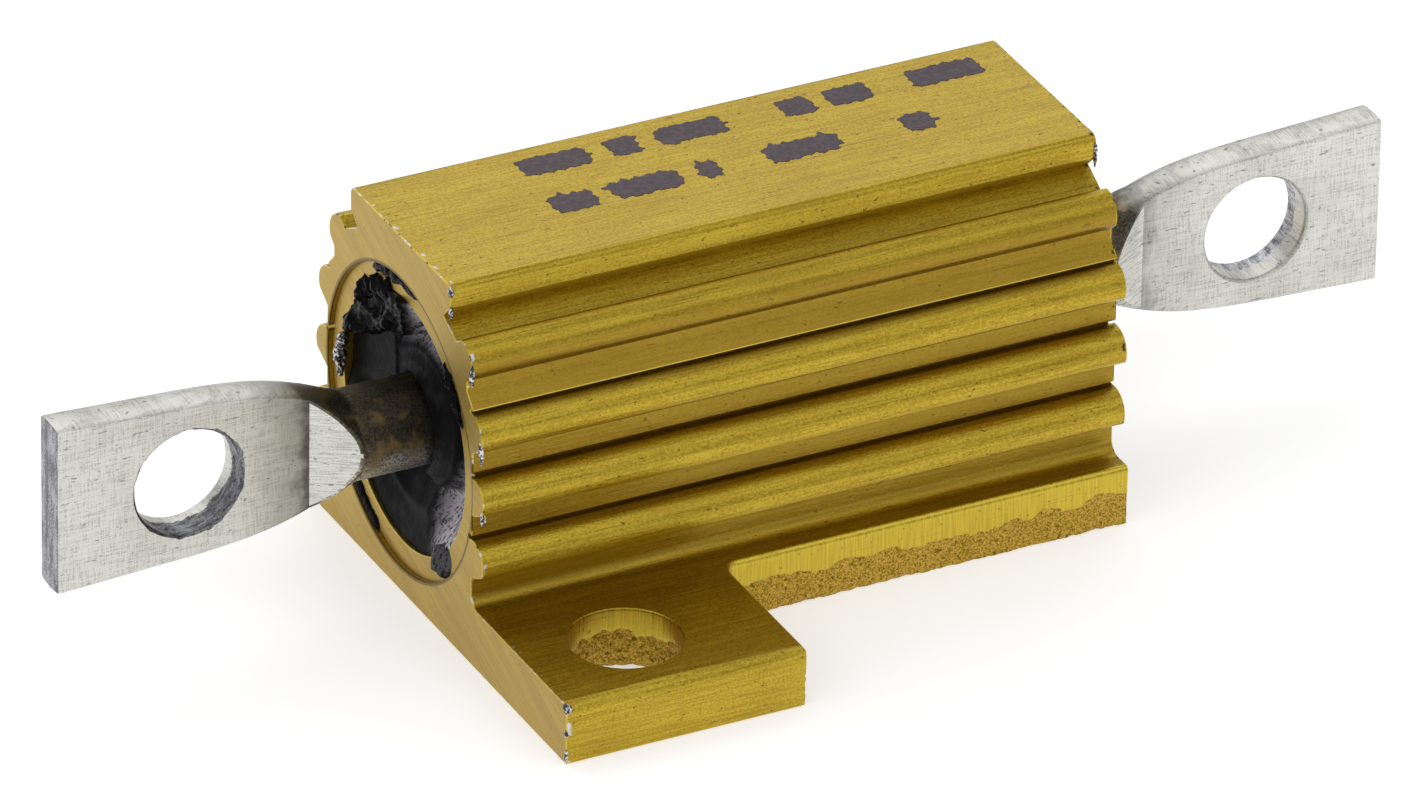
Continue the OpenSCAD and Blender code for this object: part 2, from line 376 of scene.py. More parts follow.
def add(tree, kind, inputs, out=0, **settings):
    """Adds one shader node and returns its output. Inputs are its sockets by name or
    number, each a value or another node's output; settings are its properties."""
    made = tree.nodes.new("ShaderNode" + kind)
    for name, value in settings.items():
        setattr(made, name, value)
    for key, value in inputs.items():
        if isinstance(value, bpy.types.NodeSocket):
            tree.links.new(value, made.inputs[key])
        else:
            made.inputs[key].default_value = value
    return made.outputs[out] if made.outputs else made


def blank(name):
    """A material of the given name with an empty node tree."""
    material = bpy.data.materials.new(name)
    material.use_nodes = True
    material.node_tree.nodes.clear()
    return material, material.node_tree


def tinted(value, share):
    """A linear colour made darker or lighter by a share."""
    return (value[0] * share, value[1] * share, value[2] * share, 1.0)


SOFT = {"interpolation_type": "SMOOTHSTEP"}
RGBA = {"data_type": "RGBA"}
TEXTURE = {"vector_type": "TEXTURE"}


def from_axis(t, at):
    """Distance of Object coordinates from the bore's axis: their length with X dropped."""
    flat = add(t, "Mapping", {"Vector": at, "Location": (0, 0, AXIS_Z), "Scale": (1e6, 1, 1)},
               **TEXTURE)
    return add(t, "VectorMath", {0: flat}, "Value", operation="LENGTH")


def beside_saw(t, at, looks, start, end):
    """How near the sawn ends the metal is, from 0 at start inside them to 1 at end, and
    the colour of a burr that broke off there: bare metal at the left end, and a dark,
    grimy nick at the right end."""
    along = add(t, "SeparateXYZ", {0: at}, "X")
    reach = add(t, "Math", {0: along}, operation="ABSOLUTE")
    near = add(t, "MapRange", {0: reach, 1: END_X - start, 2: END_X - end})
    right = add(t, "Math", {0: along, 1: 0.0}, operation="GREATER_THAN")
    broken = add(t, "Mix", {0: right, 6: tuple(looks.bare), 7: tinted(looks.deep, 0.12)},
                 2, **RGBA)
    return near, broken


def extruded_aluminium(looks):
    """Gold anodised 6063 aluminium as it leaves the die: fine drawn lines along X,
    an etched satin grain, short cross ticks, small dark pits, and a thin clear oxide
    over the dye."""
    material, t = blank("Gold anodised aluminium, extruded")
    p = looks.line_pitch
    at = add(t, "TexCoord", {}, "Object")
    fac = {}
    for key, size, detail in (
            ("lines", (1.6 * MM, p, p), 3),
            ("bands", (12 * MM, 5 * p, 5 * p), 2),
            ("grain", (0.06 * MM, 0.04 * MM, 0.04 * MM), 2),  # drawn coarser than the etch
            ("burrs", (0.22 * MM,) * 3, 2),
            ("patches", (2.2 * MM, 0.9 * MM, 0.9 * MM), 3),
            ("ticks", (0.05 * MM, 0.3 * MM, 0.3 * MM), 1),
            ("scores", (2.2 * MM, 0.04 * MM, 0.04 * MM), 2),
            ("pits", (0.15 * MM, 0.08 * MM, 0.08 * MM), 1)):
        cell = add(t, "Mapping", {"Vector": at, "Scale": size}, **TEXTURE)
        fac[key] = add(t, "TexNoise", {"Vector": cell, "Scale": 1, "Detail": detail}, "Fac")
    drawn = add(t, "Mix", {0: 0.25, 2: fac["lines"], 3: fac["bands"]})
    drawn = add(t, "Mix", {0: 0.52, 2: drawn, 3: fac["grain"]})
    tone = add(t, "MapRange", {0: drawn, 1: 0.4, 2: 0.6}, **SOFT)
    worn = add(t, "MapRange", {0: fac["patches"], 1: 0.35, 2: 0.75, 4: 0.22}, **SOFT)
    tick = add(t, "MapRange", {0: fac["ticks"], 1: 0.66, 2: 0.74, 4: 0.3}, **SOFT)
    score = add(t, "MapRange", {0: fac["scores"], 1: 0.6, 2: 0.72, 4: 0.5}, **SOFT)
    pit = add(t, "MapRange", {0: fac["pits"], 1: 0.72, 2: 0.78, 4: 0.7}, **SOFT)
    color = add(t, "Mix", {0: tone, 6: tuple(looks.deep), 7: tuple(looks.light)}, 2, **RGBA)
    for share, dark in ((worn, 0.75), (tick, 0.5), (score, 0.45), (pit, 0.2)):
        color = add(t, "Mix", {0: share, 6: color, 7: tinted(looks.deep, dark)}, 2, **RGBA)
    # Painted shade: the floors of the grooves between the fins are painted browner,
    # but not the valley above the top fin.
    across = add(t, "Math", {0: add(t, "SeparateXYZ", {0: at}, "Y")}, operation="ABSOLUTE")
    deep = add(t, "MapRange", {0: across, 1: GROOVE_Y, 2: GROOVE_Y + 0.28 * MM,
                               3: 0.6, 4: 0.0}, **SOFT)
    under = add(t, "MapRange", {0: add(t, "SeparateXYZ", {0: at}, "Z"),
                                1: VALLEY_Z - 0.5 * MM, 2: VALLEY_Z, 3: 1.0, 4: 0.0}, **SOFT)
    brown = add(t, "Math", {0: deep, 1: under}, operation="MULTIPLY")
    color = add(t, "Mix", {0: brown, 6: color, 7: tuple(looks.shade_brown)}, 2, **RGBA)
    # Burrs beside the saw cut broke off with the finish, but not those round the recess.
    near, broken = beside_saw(t, at, looks, 0.15 * MM, 0.08 * MM)
    clear = add(t, "Math", {0: from_axis(t, at), 1: RECESS_R + 0.1 * MM},
                operation="GREATER_THAN")
    near = add(t, "Math", {0: near, 1: clear}, operation="MULTIPLY")
    burr = add(t, "MapRange", {0: fac["burrs"], 1: 0.62, 2: 0.66}, **SOFT)
    burr = add(t, "Math", {0: near, 1: burr}, operation="MULTIPLY")
    color = add(t, "Mix", {0: burr, 6: color, 7: broken}, 2, **RGBA)
    height = add(t, "Math", {0: drawn, 1: pit}, operation="SUBTRACT")
    shader = add(t, "BsdfPrincipled", {
        "Base Color": color, "Metallic": 1.0,
        "Roughness": add(t, "MapRange", {0: drawn, 1: 0.35, 2: 0.65, 3: 0.34, 4: 0.44}),
        "Normal": add(t, "Bump", {"Height": height, "Distance": 0.012 * MM}),
        "Coat Weight": 0.25, "Coat Roughness": 0.35, "Coat IOR": 1.6})
    add(t, "OutputMaterial", {"Surface": shader})
    return material


def sawn_aluminium(looks):
    """Gold anodised aluminium over a saw cut: a paler, matt face with fine saw lines
    that slope down towards -Y, and a speckle of small pits."""
    material, t = blank("Gold anodised aluminium, sawn")
    p = looks.saw_pitch
    slope = (math.radians(21), 0, 0)
    at = add(t, "TexCoord", {}, "Object")
    fac = {}
    for key, size, detail in (("lines", (p, 50 * p, p), 2),
                              ("bands", (4 * p, 80 * p, 7 * p), 1),
                              ("grain", (0.05 * MM,) * 3, 3),
                              ("pits", (0.09 * MM,) * 3, 2)):
        cell = add(t, "Mapping", {"Vector": at, "Rotation": slope, "Scale": size}, **TEXTURE)
        fac[key] = add(t, "TexNoise", {"Vector": cell, "Scale": 1, "Detail": detail}, "Fac")
    cut = add(t, "Mix", {0: 0.4, 2: fac["lines"], 3: fac["grain"]})
    cut = add(t, "Mix", {0: 0.25, 2: cut, 3: fac["bands"]})
    tone = add(t, "MapRange", {0: cut, 1: 0.4, 2: 0.6}, **SOFT)
    pit = add(t, "MapRange", {0: fac["pits"], 1: 0.64, 2: 0.74, 4: 0.5}, **SOFT)
    color = add(t, "Mix", {0: tone, 6: tinted(looks.sawn, 0.8), 7: tuple(looks.sawn)},
                2, **RGBA)
    color = add(t, "Mix", {0: pit, 6: color, 7: tinted(looks.sawn, 0.42)}, 2, **RGBA)
    # Painted shade: a thin dark ring along the recess round the bore, for the shadow line at
    # its edge.
    radius = from_axis(t, at)
    off = add(t, "Math", {0: radius, 1: RECESS_R + 0.03 * MM}, operation="SUBTRACT")
    off = add(t, "Math", {0: off}, operation="ABSOLUTE")
    recess_shade = add(t, "MapRange", {0: off, 1: 0.02 * MM, 2: 0.07 * MM, 3: 0.75, 4: 0.0}, **SOFT)
    color = add(t, "Mix", {0: recess_shade, 6: color, 7: tinted(looks.shade_brown, 0.45)}, 2, **RGBA)
    shader = add(t, "BsdfPrincipled", {
        "Base Color": color, "Metallic": 1.0,
        "Roughness": add(t, "MapRange", {0: fac["grain"], 1: 0.3, 2: 0.7, 3: 0.42, 4: 0.55}),
        "Normal": add(t, "Bump", {"Height": cut, "Distance": 0.006 * MM}),
        "Coat Weight": 0.2, "Coat Roughness": 0.5, "Coat IOR": 1.6})
    add(t, "OutputMaterial", {"Surface": shader})
    return material


def worn_and_highlit_rims(looks):
    """Gold anodised aluminium on the crisp rims: the oxide is thin there and rubs pale, and
    the pale gold is also a painted highlight along the edges; next to the sawn ends burrs
    broke off it, down to bare metal or to a dark nick."""
    material, t = blank("Gold anodised aluminium, worn rims")
    at = add(t, "TexCoord", {}, "Object")
    fac = {}
    for key, size in (("rub_and_highlight", 0.3 * MM), ("nick", 0.16 * MM), ("dirt", 0.2 * MM)):
        cell = add(t, "Mapping", {"Vector": at, "Scale": (size,) * 3}, **TEXTURE)
        fac[key] = add(t, "TexNoise", {"Vector": cell, "Scale": 1, "Detail": 3}, "Fac")
    near, broken = beside_saw(t, at, looks, 0.2 * MM, 0.05 * MM)
    # The paler rim colour is partly rubbed oxide and partly a painted highlight along the
    # edges.
    rub_and_highlight = add(t, "MapRange", {0: fac["rub_and_highlight"], 1: 0.35, 2: 0.65}, **SOFT)
    nick = add(t, "MapRange", {0: fac["nick"], 1: 0.57, 2: 0.63}, **SOFT)
    dirt = add(t, "MapRange", {0: fac["dirt"], 1: 0.6, 2: 0.66, 4: 0.85}, **SOFT)
    bare = add(t, "Math", {0: near, 1: nick}, operation="MULTIPLY")
    color = add(t, "Mix", {0: rub_and_highlight, 6: tuple(looks.light), 7: tuple(looks.rim)}, 2, **RGBA)
    color = add(t, "Mix", {0: bare, 6: color, 7: broken}, 2, **RGBA)
    dark = add(t, "Math", {0: near, 1: dirt}, operation="MULTIPLY")
    color = add(t, "Mix", {0: dark, 6: color, 7: tinted(looks.deep, 0.12)}, 2, **RGBA)
    # Painted shade: a thin dark ring along the recess round the bore, for the shadow line at
    # its edge.
    radius = from_axis(t, at)
    ring = add(t, "Math", {0: radius, 1: RECESS_R, 2: 0.12 * MM}, operation="COMPARE")
    color = add(t, "Mix", {0: ring, 6: color, 7: tinted(looks.shade_brown, 0.5)}, 2, **RGBA)
    shader = add(t, "BsdfPrincipled", {
        "Base Color": color, "Metallic": 1.0, "Roughness": 0.35,
        "Normal": add(t, "Bump", {"Height": fac["nick"], "Distance": 0.015 * MM})})
    add(t, "OutputMaterial", {"Surface": shader})
    return material


def burnished_aluminium(looks):
    """Gold anodised aluminium where the punch slid past: smooth and bright, with fine
    streaks along the punch's stroke and a few lines scored across it."""
    material, t = blank("Gold anodised aluminium, burnished by the punch")
    at = add(t, "TexCoord", {}, "Object")
    fac = {}
    for key, size, detail in (("streaks", (0.05 * MM, 0.05 * MM, 1.2 * MM), 2),
                              ("scored", (2 * MM, 2 * MM, 0.04 * MM), 1),
                              ("pits", (0.12 * MM,) * 3, 2)):
        cell = add(t, "Mapping", {"Vector": at, "Scale": size}, **TEXTURE)
        fac[key] = add(t, "TexNoise", {"Vector": cell, "Scale": 1, "Detail": detail}, "Fac")
    tone = add(t, "MapRange", {0: fac["streaks"], 1: 0.3, 2: 0.7}, **SOFT)
    scored = add(t, "MapRange", {0: fac["scored"], 1: 0.66, 2: 0.74, 4: 0.4}, **SOFT)
    pit = add(t, "MapRange", {0: fac["pits"], 1: 0.66, 2: 0.72, 4: 0.6}, **SOFT)
    color = add(t, "Mix", {0: tone, 6: tinted(looks.light, 0.85),
                           7: tinted(looks.light, 1.15)}, 2, **RGBA)
    for share in (scored, pit):
        color = add(t, "Mix", {0: share, 6: color, 7: tinted(looks.deep, 0.4)}, 2, **RGBA)
    shader = add(t, "BsdfPrincipled", {
        "Base Color": color, "Metallic": 1.0,
        "Roughness": add(t, "MapRange", {0: fac["streaks"], 1: 0.3, 2: 0.7, 3: 0.24, 4: 0.36}),
        "Normal": add(t, "Bump", {"Height": fac["streaks"], "Distance": 0.004 * MM}),
        "Coat Weight": 0.3, "Coat Roughness": 0.25, "Coat IOR": 1.6})
    add(t, "OutputMaterial", {"Surface": shader})
    return material


def torn_aluminium(looks):
    """Gold anodised aluminium where the slug tore away: a coarse, granular break in tan
    and brown, because its pits hold the light."""
    material, t = blank("Gold anodised aluminium, torn")
    at = add(t, "TexCoord", {}, "Object")
    fac = {}
    for key, size in (("grain", 0.045 * MM), ("holes", 0.1 * MM)):
        cell = add(t, "Mapping", {"Vector": at, "Scale": (size,) * 3}, **TEXTURE)
        fac[key] = add(t, "TexNoise", {"Vector": cell, "Scale": 1, "Detail": 3}, "Fac")
    tone = add(t, "MapRange", {0: fac["grain"], 1: 0.36, 2: 0.6}, **SOFT)
    hole = add(t, "MapRange", {0: fac["holes"], 1: 0.58, 2: 0.7, 4: 0.7}, **SOFT)
    color = add(t, "Mix", {0: tone, 6: tinted(looks.deep, 0.7), 7: tuple(looks.tan)},
                2, **RGBA)
    color = add(t, "Mix", {0: hole, 6: color, 7: tinted(looks.deep, 0.22)}, 2, **RGBA)
    height = add(t, "Math", {0: fac["grain"], 1: hole}, operation="SUBTRACT")
    shader = add(t, "BsdfPrincipled", {
        "Base Color": color, "Metallic": 1.0, "Roughness": 0.5,
        "Normal": add(t, "Bump", {"Height": height, "Distance": 0.012 * MM})})
    add(t, "OutputMaterial", {"Surface": shader})
    return material


def bare_aluminium(looks):
    """Bare aluminium in a broken burr: bright silver flakes between dark cracks."""
    material, t = blank("Bare aluminium, broken burr")
    at = add(t, "TexCoord", {}, "Object")
    cell = add(t, "Mapping", {"Vector": at, "Scale": (0.07 * MM,) * 3}, **TEXTURE)
    flakes = add(t, "TexNoise", {"Vector": cell, "Scale": 1, "Detail": 3}, "Fac")
    tone = add(t, "MapRange", {0: flakes, 1: 0.46, 2: 0.6}, **SOFT)
    color = add(t, "Mix", {0: tone, 6: tinted(looks.bare, 0.1), 7: tinted(looks.bare, 1.25)},
                2, **RGBA)
    shader = add(t, "BsdfPrincipled", {
        "Base Color": color, "Metallic": 1.0, "Roughness": 0.38,
        "Normal": add(t, "Bump", {"Height": flakes, "Distance": 0.03 * MM})})
    add(t, "OutputMaterial", {"Surface": shader})
    return material


def black_silicone(looks):
    """Black silicone, moulded round the element: satin black, with streaks of painted grey
    sheen on its slopes, and glossy black where its flash tore."""
    material, t = blank("Black silicone, moulded")
    at = add(t, "TexCoord", {}, "Object")
    fac = {}
    for key, size in (("grain", (0.06 * MM,) * 3),
                      ("streaks", (0.3 * MM, 0.07 * MM, 0.16 * MM)),
                      ("smears", (0.6 * MM,) * 3)):
        cell = add(t, "Mapping", {"Vector": at, "Scale": size}, **TEXTURE)
        fac[key] = add(t, "TexNoise", {"Vector": cell, "Scale": 1, "Detail": 3}, "Fac")
    bloom = add(t, "Attribute", {}, "Fac", attribute_name="bloom")
    shine = add(t, "Attribute", {}, "Fac", attribute_name="shine")
    streak = add(t, "Mix", {0: 0.4, 2: fac["streaks"], 3: fac["grain"]})
    streak = add(t, "MapRange", {0: streak, 1: 0.4, 2: 0.55, 3: 0.12}, **SOFT)
    # Painted sheen: grey streaks on the slopes stand in for their highlight.
    sheen_streaks = add(t, "Math", {0: bloom, 1: streak}, operation="MULTIPLY")
    smear = add(t, "MapRange", {0: fac["smears"], 1: 0.45, 2: 0.75, 4: 0.02}, **SOFT)
    color = add(t, "Mix", {0: smear, 6: tuple(looks.color), 7: tuple(looks.bloom)}, 2, **RGBA)
    color = add(t, "Mix", {0: sheen_streaks, 6: color, 7: tuple(looks.bloom)}, 2, **RGBA)
    color = add(t, "Mix", {0: shine, 6: color, 7: tuple(looks.gloss)}, 2, **RGBA)
    matt = add(t, "MapRange", {0: fac["grain"], 1: 0.3, 2: 0.7, 3: 0.42, 4: 0.58})
    shader = add(t, "BsdfPrincipled", {
        "Base Color": color, "IOR": 1.43, "Specular IOR Level": 0.07,
        "Roughness": add(t, "Mix", {0: shine, 2: matt, 3: 0.22}),
        "Normal": add(t, "Bump", {"Height": fac["grain"], "Distance": 0.008 * MM})})
    add(t, "OutputMaterial", {"Surface": shader})
    return material


def tinned_copper(looks, facet=False):
    """Tinned copper-clad wire, coined flat: matt grey-white with the tools' fine square
    crosshatch and short dark ticks. The root of a blade is dull and smudged, with painted
    shade beside the shoulder and along its crease, and the stem beside the moulding has a heat
    stain, brown-black above and speckled silver and straw below. A shoulder's flat facet is
    clean."""
    material, t = blank("Tinned copper, coined facet" if facet else "Tinned copper, coined")
    p = looks.scratch_pitch
    at = add(t, "TexCoord", {}, "Object")
    fac = {}
    for key, size, detail in (
            ("level", (0.6 * MM, 0.6 * MM, p), 2),
            ("plumb", (p, 0.6 * MM, 0.45 * MM), 2),
            ("ticks", (0.2 * MM, 0.2 * MM, 0.06 * MM), 1),
            ("grain", (0.04 * MM,) * 3, 3),
            ("clouds", (1.6 * MM,) * 3, 2),
            ("mottle", (0.55 * MM,) * 3, 5),
            ("speckle", (0.055 * MM,) * 3, 3)):
        cell = add(t, "Mapping", {"Vector": at, "Scale": size}, **TEXTURE)
        fac[key] = add(t, "TexNoise", {"Vector": cell, "Scale": 1, "Detail": detail}, "Fac")
    weave = add(t, "Mix", {0: 0.1 if facet else 0.5, 2: fac["level"], 3: fac["plumb"]})
    weave = add(t, "Mix", {0: 0.35, 2: weave, 3: fac["grain"]})
    hatch = add(t, "MapRange", {0: weave, 1: 0.38, 2: 0.54, 3: 0.6, 4: 0.0}, **SOFT)
    tick = add(t, "MapRange", {0: fac["ticks"], 1: 0.68, 2: 0.75, 4: 0.6}, **SOFT)
    cloud = add(t, "MapRange", {0: fac["clouds"], 1: 0.4, 2: 0.7, 4: 0.35}, **SOFT)
    color = add(t, "Mix", {0: cloud, 6: tuple(looks.tin), 7: tuple(looks.dull)}, 2, **RGBA)
    color = add(t, "Mix", {0: hatch, 6: color, 7: tinted(looks.dull, 0.55)}, 2, **RGBA)
    color = add(t, "Mix", {0: tick, 6: color, 7: tinted(looks.dull, 0.22)}, 2, **RGBA)
    if not facet:
        side = add(t, "SeparateXYZ", {0: at}, "X")
        height = add(t, "SeparateXYZ", {0: at}, "Z")
        reach = add(t, "Math", {0: side}, operation="ABSOLUTE")
        ragged = add(t, "Math", {0: fac["mottle"], 1: 0.9 * MM, 2: reach},
                     operation="MULTIPLY_ADD")
        # The blade's root is smudged and darkened with painted shade, most beside the
        # shoulder, and less at the right end.
        root = add(t, "MapRange", {0: ragged, 1: SHOULDER_X + 0.45 * MM,
                                   2: SHOULDER_X + 2.3 * MM, 3: 0.6, 4: 0.0}, **SOFT)
        share = add(t, "MapRange", {0: side, 1: -MM, 2: MM, 3: 1.0, 4: 0.4})
        root = add(t, "Math", {0: root, 1: share}, operation="MULTIPLY")
        color = add(t, "Mix", {0: root, 6: color, 7: tinted(looks.dull, 0.4)}, 2, **RGBA)
        # Painted shade: a dark band along the crease beside the shoulder.
        crease = add(t, "MapRange", {0: ragged, 1: SHOULDER_X + 0.5 * MM,
                                     2: SHOULDER_X + 0.85 * MM, 3: 0.8, 4: 0.0}, **SOFT)
        crease = add(t, "Math", {0: crease, 1: share}, operation="MULTIPLY")
        color = add(t, "Mix", {0: crease, 6: color, 7: tinted(looks.dull, 0.12)}, 2, **RGBA)
        stained = add(t, "MapRange", {0: ragged, 1: SHOULDER_X, 2: SHOULDER_X + 0.5 * MM,
                                      3: 1.0, 4: 0.0}, **SOFT)
        worn = add(t, "Math", {0: fac["mottle"], 1: 1.2 * MM, 2: height},
                   operation="MULTIPLY_ADD")
        upper = add(t, "MapRange", {0: worn, 1: AXIS_Z, 2: AXIS_Z + 0.75 * MM}, **SOFT)
        speckle = add(t, "MapRange", {0: fac["speckle"], 1: 0.36, 2: 0.62}, **SOFT)
        low = add(t, "Mix", {0: speckle, 6: tinted(looks.dull, 0.45),
                             7: tinted(looks.dull, 1.3)}, 2, **RGBA)
        patch = add(t, "MapRange", {0: fac["mottle"], 1: 0.5, 2: 0.66, 4: 0.8}, **SOFT)
        dusty = add(t, "Mix", {0: speckle, 6: tinted(looks.stain, 0.75),
                               7: tinted(looks.stain, 1.7)}, 2, **RGBA)
        high = add(t, "Mix", {0: patch, 6: dusty, 7: tinted(looks.straw, 0.6)}, 2, **RGBA)
        burnt = add(t, "Mix", {0: upper, 6: low, 7: high}, 2, **RGBA)
        color = add(t, "Mix", {0: stained, 6: color, 7: burnt}, 2, **RGBA)
    relief = add(t, "Math", {0: weave, 1: tick}, operation="SUBTRACT")
    shader = add(t, "BsdfPrincipled", {
        "Base Color": color, "Metallic": 1.0,
        "Roughness": add(t, "MapRange", {0: fac["grain"], 1: 0.3, 2: 0.7, 3: 0.36, 4: 0.5}),
        "Normal": add(t, "Bump", {"Height": relief, "Distance": 0.008 * MM})})
    add(t, "OutputMaterial", {"Surface": shader})
    return material


def sheared_metal(looks, name, shade, streak_size):
    """Copper-clad wire where the press sheared it: grey and finely granular, with
    lighter streaks along the tool's stroke. shade makes it lighter or darker."""
    material, t = blank(name)
    at = add(t, "TexCoord", {}, "Object")
    fac = {}
    for key, size in (("grain", (0.05 * MM,) * 3), ("streaks", streak_size)):
        cell = add(t, "Mapping", {"Vector": at, "Scale": size}, **TEXTURE)
        fac[key] = add(t, "TexNoise", {"Vector": cell, "Scale": 1, "Detail": 3}, "Fac")
    both = add(t, "Mix", {0: 0.55, 2: fac["grain"], 3: fac["streaks"]})
    tone = add(t, "MapRange", {0: both, 1: 0.4, 2: 0.62}, **SOFT)
    color = add(t, "Mix", {0: tone, 6: tinted(looks.cut, 0.45 * shade),
                           7: tinted(looks.cut, 1.4 * shade)}, 2, **RGBA)
    shader = add(t, "BsdfPrincipled", {
        "Base Color": color, "Metallic": 1.0, "Roughness": 0.48,
        "Normal": add(t, "Bump", {"Height": both, "Distance": 0.012 * MM})})
    add(t, "OutputMaterial", {"Surface": shader})
    return material


def hidden_finish(name, light, dark, grain, roughness, metallic):
    """A hidden part's finish: two close tones mottled at the given grain size."""
    material, t = blank(name)
    at = add(t, "TexCoord", {}, "Object")
    cell = add(t, "Mapping", {"Vector": at, "Scale": (grain,) * 3}, **TEXTURE)
    mottle = add(t, "TexNoise", {"Vector": cell, "Scale": 1, "Detail": 3}, "Fac")
    tone = add(t, "MapRange", {0: mottle, 1: 0.35, 2: 0.65}, **SOFT)
    shader = add(t, "BsdfPrincipled", {
        "Base Color": add(t, "Mix", {0: tone, 6: srgb(light), 7: srgb(dark)}, 2, **RGBA),
        "Metallic": metallic, "Roughness": roughness,
        "Normal": add(t, "Bump", {"Height": mottle, "Distance": 0.004 * MM})})
    add(t, "OutputMaterial", {"Surface": shader})
    return material


def marking_ink(looks):
    """Marking ink, jetted on in drops and dried: flat purple-grey, thin at its rims."""
    material, t = blank("Marking ink, jetted")
    at = add(t, "TexCoord", {}, "Object")
    cell = add(t, "Mapping", {"Vector": at, "Scale": (0.1 * MM,) * 3}, **TEXTURE)
    drops = add(t, "TexNoise", {"Vector": cell, "Scale": 1, "Detail": 3}, "Fac")
    tone = add(t, "MapRange", {0: drops, 1: 0.35, 2: 0.7}, **SOFT)
    color = add(t, "Mix", {0: tone, 6: tuple(looks.color), 7: tinted(looks.color, 1.6)},
                2, **RGBA)
    shader = add(t, "BsdfPrincipled", {
        "Base Color": color, "Roughness": 0.62,
        "Normal": add(t, "Bump", {"Height": drops, "Distance": 0.006 * MM})})
    add(t, "OutputMaterial", {"Surface": shader})
    return material


# ---------------------------------------------------------------- cutters


def punch_depth(along, z, looks, seed, roll=1.0):
    """Depth to shave off a punched wall at a distance along it and a height z:
    a quarter-round roll-over at the top, 1 - sqrt(1 - t^2) of its depth; a smooth
    band with faint streaks; then, below a ragged line, a torn band whose depth is
    a sum of noises."""
    turned = roll * looks.roll_over
    t = np.clip((z - (FLANGE_T - 1.3 * turned)) / (1.3 * turned), 0, 1)
    rolled = turned * (1 - np.sqrt(np.clip(1 - t * t, 0, 1)))
    ragged = 0.14 * MM * rough_noise(along / (0.55 * MM), 0 * z, 4, seed)
    split = FLANGE_T - looks.burnish - looks.roll_over + ragged
    torn = step(0.02 * MM, -0.04 * MM, z - split)
    streaks = 0.002 * MM * lattice_noise(along / (0.06 * MM), z / MM, seed + 7)
    pits = looks.tear * (0.5 + 0.6 * rough_noise(
        along / (0.13 * MM), z / (0.11 * MM), 3, seed + 11))
    foot = 0.03 * MM * step(0.12 * MM, 0, z) * (
        1 + rough_noise(along / (0.2 * MM), 0 * z, 3, seed + 19))
    return SKIN + rolled + streaks + torn * (np.maximum(pits, 0) + foot), torn


def closed_cutter(name, inner, outer, torn, materials, ring=False):
    """A closed cutter from a sheet of points and its outer copy, both (rows, columns, 3),
    joined round their rim, or round both ends where the rows run in a ring.
    Sheet faces past half torn take the second material."""
    rows, columns = inner.shape[:2]
    points = np.concatenate([inner.reshape(-1, 3), outer.reshape(-1, 3)])
    sheet = np.array(grid_faces(rows, columns, close_rows=ring))
    back = sheet[:, ::-1] + rows * columns
    row = np.arange(columns)
    start = (np.arange(rows + ring) % rows) * columns
    lines = [start, start + columns - 1]
    if not ring:
        lines += [row, row + (rows - 1) * columns]
    rim = []
    for line in lines:
        rim.append(np.stack([line[:-1], line[1:], line[1:] + rows * columns,
                             line[:-1] + rows * columns], -1))
    faces = np.concatenate([sheet, back, *rim])
    obj = mesh_object(name, points, faces.tolist())
    dress(obj, *materials)
    kind = (torn.reshape(-1)[sheet].mean(1) > 0.5).astype(int)
    index = np.zeros(len(faces), int)
    index[:len(kind)] = kind
    obj.data.polygons.foreach_set("material_index", index)
    outward(obj)
    return obj


def wall_cutter(turn, looks, materials, seed):
    """Shaves the two punched walls beside one notch. The path runs in along the
    foot's side, round the notch's corner of radius CORNER_R and out along the stub;
    each point moves off the path into the metal by punch_depth."""
    cell = 0.045 * MM    # spacing of the points along the path
    margin = 0.4 * MM    # how far the path runs past the metal
    n_side = int((BASE_Y + margin - STUB_Y - CORNER_R) / cell)
    n_stub = int((END_X + margin - FOOT_X - CORNER_R) / cell)
    side_y = np.linspace(-BASE_Y - margin, -STUB_Y - CORNER_R, n_side)
    bend = np.linspace(math.pi, math.pi / 2, 12)[1:-1]
    stub_x = np.linspace(FOOT_X + CORNER_R, END_X + margin, n_stub)
    x = np.concatenate([np.full(n_side, FOOT_X),
                        FOOT_X + CORNER_R + CORNER_R * np.cos(bend), stub_x])
    y = np.concatenate([side_y, -STUB_Y - CORNER_R + CORNER_R * np.sin(bend),
                        np.full(n_stub, -STUB_Y)])
    inward_x = np.concatenate([np.full(n_side, -1.0), np.cos(bend), np.zeros(n_stub)])
    inward_y = np.concatenate([np.zeros(n_side), np.sin(bend), np.ones(n_stub)])
    along = np.concatenate([[0], np.cumsum(np.hypot(np.diff(x), np.diff(y)))])
    z = np.linspace(BELOW, FLANGE_T + ABOVE, 46)
    s, h = np.meshgrid(along, z, indexing="ij")
    depth, torn = punch_depth(s, h, looks, seed)
    inner = np.stack([x[:, None] + inward_x[:, None] * depth,
                      y[:, None] + inward_y[:, None] * depth, h], -1)
    out = 0.2 * MM       # thickness of the cutter outside the metal
    outer = np.stack([np.repeat((x - inward_x * out)[:, None], len(z), 1),
                      np.repeat((y - inward_y * out)[:, None], len(z), 1), h], -1)
    sign = -1 if turn else 1
    inner[..., :2] *= sign
    outer[..., :2] *= sign
    return closed_cutter("punched wall", inner, outer, torn, materials)


